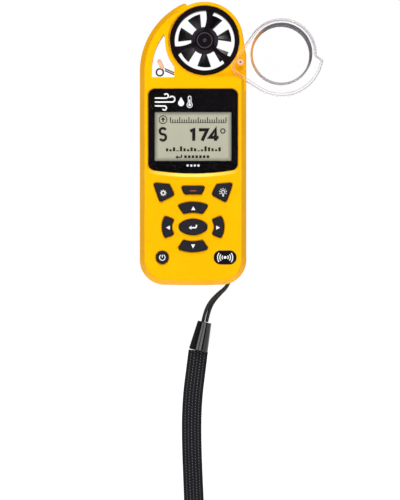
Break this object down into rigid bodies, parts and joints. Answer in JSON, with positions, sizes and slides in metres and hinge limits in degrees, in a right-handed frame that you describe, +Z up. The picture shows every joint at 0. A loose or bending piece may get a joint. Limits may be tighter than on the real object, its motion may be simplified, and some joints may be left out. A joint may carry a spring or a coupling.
{
  "type": "handheld weather meter",
  "caption": "Pocket weather meter with display, rubber keys, spinning impeller, sensor window, clear swinging cover and a hanging wrist strap.",
  "frame": {"origin": "mouth of the tripod socket in the back face", "axes": "+X to the right of the display, +Y out of the back, +Z up towards the impeller"},
  "size_m": [0.0813, 0.0323, 0.2925],
  "materials": {
    "case_yellow": "satin moulded yellow",
    "seal_rubber": "soft black",
    "key_rubber": "matte black rubber",
    "window_clear": "clear polished",
    "window_black": "printed gloss black",
    "display_grey": "grey green display",
    "light_panel": "milky",
    "steel": "bright steel",
    "board_green": "solder mask",
    "chip_black": "moulded black",
    "tray_black": "moulded black",
    "cell_wrap": "wrapped metal can",
    "insert_brass": "turned brass",
    "impeller_black": "satin black",
    "jewel": "polished jewel",
    "magnet_dark": "sintered",
    "bead_pink": "coated bead",
    "wire_dark": "enamelled wire",
    "cover_clear": "clear polycarbonate",
    "cord_black": "braided cord",
    "ferrule_black": "gloss black"
  },
  "bodies": {
    "case": {"front_shell": "case_yellow", "rear_shell": "case_yellow", "case_seal": "seal_rubber", "door_seal": "seal_rubber", "keypad_membrane": "seal_rubber", "display_window": "window_clear", "window_mask": "window_black", "wireless_badge": "window_black", "display_glass": "display_grey", "backlight_panel": "light_panel", "case_screws": "steel", "door_pin": "steel", "lanyard_pin": "steel", "cover_pin": "steel", "pin_clip": "steel", "key_domes": "steel", "spring_contact": "steel", "button_contact": "steel", "radio_module": "steel", "pressure_sensor": "steel", "circuit_board": "board_green", "compass_module": "chip_black", "humidity_sensor": "chip_black", "battery_tray": "tray_black", "battery_cell": "cell_wrap", "tripod_insert": "insert_brass", "impeller_housing_front": "impeller_black", "impeller_housing_rear": "impeller_black", "front_bearing": "jewel", "rear_bearing": "jewel", "thermistor_bead": "bead_pink", "thermistor_loop": "wire_dark", "thermistor_leads": "wire_dark", "lanyard_cord": "cord_black", "lanyard_strap": "cord_black", "lanyard_ferrule": "ferrule_black"},
    "impeller": {"impeller": "impeller_black", "impeller_shaft": "steel", "impeller_magnet": "magnet_dark"},
    "flip_cover": {"flip_cover": "cover_clear"},
    "battery_door": {"battery_door": "case_yellow"},
    "door_screw": {"door_screw": "steel"},
    "key_settings": {"key_settings": "key_rubber"},
    "key_backlight": {"key_backlight": "key_rubber"},
    "key_capture": {"key_capture": "key_rubber"},
    "key_up": {"key_up": "key_rubber"},
    "key_left": {"key_left": "key_rubber"},
    "key_right": {"key_right": "key_rubber"},
    "key_down": {"key_down": "key_rubber"},
    "key_select": {"key_select": "key_rubber"},
    "key_power": {"key_power": "key_rubber"}
  },
  "joints": [
    {"name": "impeller_spin", "type": "hinge", "parent": "case", "child": "impeller", "pos_m": [0.00515, -0.0135, 0.0345], "axis": [0, 1, 0], "continuous": true},
    {"name": "cover_swing", "type": "hinge", "parent": "case", "child": "flip_cover", "pos_m": [0.021, -0.0135, 0.0248], "axis": [0, -1, 0], "range_deg": [0, 136.6]},
    {"name": "battery_door_swing", "type": "hinge", "parent": "case", "child": "battery_door", "pos_m": [0, -0.00095, -0.0648], "axis": [-1, 0, 0], "range_deg": [0, 95]},
    {"name": "door_screw_turn", "type": "hinge", "parent": "battery_door", "child": "door_screw", "pos_m": [0, 0, -0.0088], "axis": [0, 1, 0], "continuous": true},
    {"name": "key_settings_press", "type": "slide", "parent": "case", "child": "key_settings", "axis": [0, 1, 0], "range_m": [0, 0.0008], "stiffness_N_per_m": 900},
    {"name": "key_backlight_press", "type": "slide", "parent": "case", "child": "key_backlight", "axis": [0, 1, 0], "range_m": [0, 0.0008], "stiffness_N_per_m": 900},
    {"name": "key_capture_press", "type": "slide", "parent": "case", "child": "key_capture", "axis": [0, 1, 0], "range_m": [0, 0.0008], "stiffness_N_per_m": 900},
    {"name": "key_up_press", "type": "slide", "parent": "case", "child": "key_up", "axis": [0, 1, 0], "range_m": [0, 0.0008], "stiffness_N_per_m": 900},
    {"name": "key_left_press", "type": "slide", "parent": "case", "child": "key_left", "axis": [0, 1, 0], "range_m": [0, 0.0008], "stiffness_N_per_m": 900},
    {"name": "key_right_press", "type": "slide", "parent": "case", "child": "key_right", "axis": [0, 1, 0], "range_m": [0, 0.0008], "stiffness_N_per_m": 900},
    {"name": "key_down_press", "type": "slide", "parent": "case", "child": "key_down", "axis": [0, 1, 0], "range_m": [0, 0.0008], "stiffness_N_per_m": 900},
    {"name": "key_select_press", "type": "slide", "parent": "case", "child": "key_select", "axis": [0, 1, 0], "range_m": [0, 0.0008], "stiffness_N_per_m": 900},
    {"name": "key_power_press", "type": "slide", "parent": "case", "child": "key_power", "axis": [0, 1, 0], "range_m": [0, 0.0008], "stiffness_N_per_m": 900}
  ]
}
